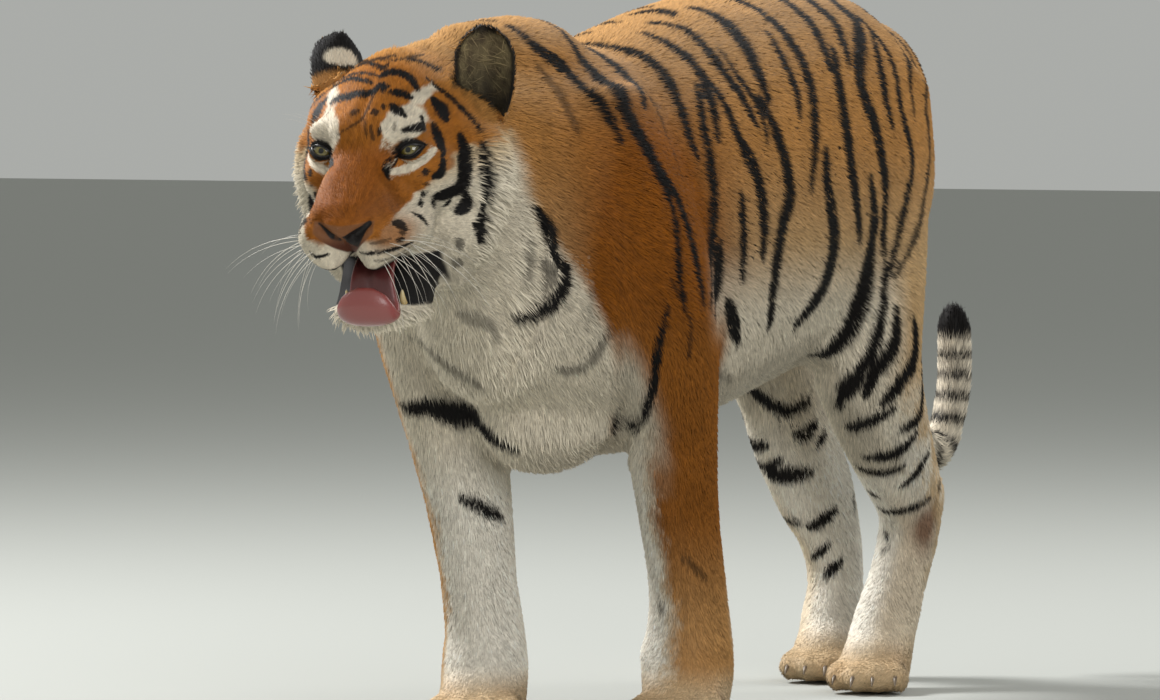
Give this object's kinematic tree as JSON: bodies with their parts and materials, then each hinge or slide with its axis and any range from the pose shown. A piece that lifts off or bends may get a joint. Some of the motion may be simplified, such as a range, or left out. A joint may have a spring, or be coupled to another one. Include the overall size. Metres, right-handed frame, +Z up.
{
  "type": "bengal tiger model",
  "caption": "Life-size still museum-type model of a bengal tiger walking on all fours, mouth open and tongue out, tail curled up at its end.",
  "frame": {"origin": "on the floor plane, midway between the model's extreme points to each side, front and back", "axes": "+Z up; the tiger faces -Y; its own left side is towards +X"},
  "size_m": [0.4452, 1.782, 1.0036],
  "materials": {
    "coat": "fur",
    "eye": "glossy",
    "tongue": "moist",
    "tooth": "glossy"
  },
  "bodies": {
    "root": {"head": "coat", "jaw": "coat", "ear_left": "coat", "ear_right": "coat", "neck": "coat", "chest": "coat", "hindquarters": "coat", "tail_base": "coat", "tail_middle": "coat", "tail_curl": "coat", "tail_end": "coat", "foreleg_left_upper": "coat", "foreleg_left_lower": "coat", "forepaw_left": "coat", "foreleg_right_upper": "coat", "foreleg_right_lower": "coat", "forepaw_right": "coat", "hindleg_left_shank": "coat", "hindleg_left_pastern": "coat", "hindpaw_left": "coat", "hindleg_right_shank": "coat", "hindleg_right_pastern": "coat", "hindpaw_right": "coat", "eye_left": "eye", "eye_right": "eye", "tongue": "tongue", "canine_left": "tooth", "canine_right": "tooth"}
  },
  "joints": []
}
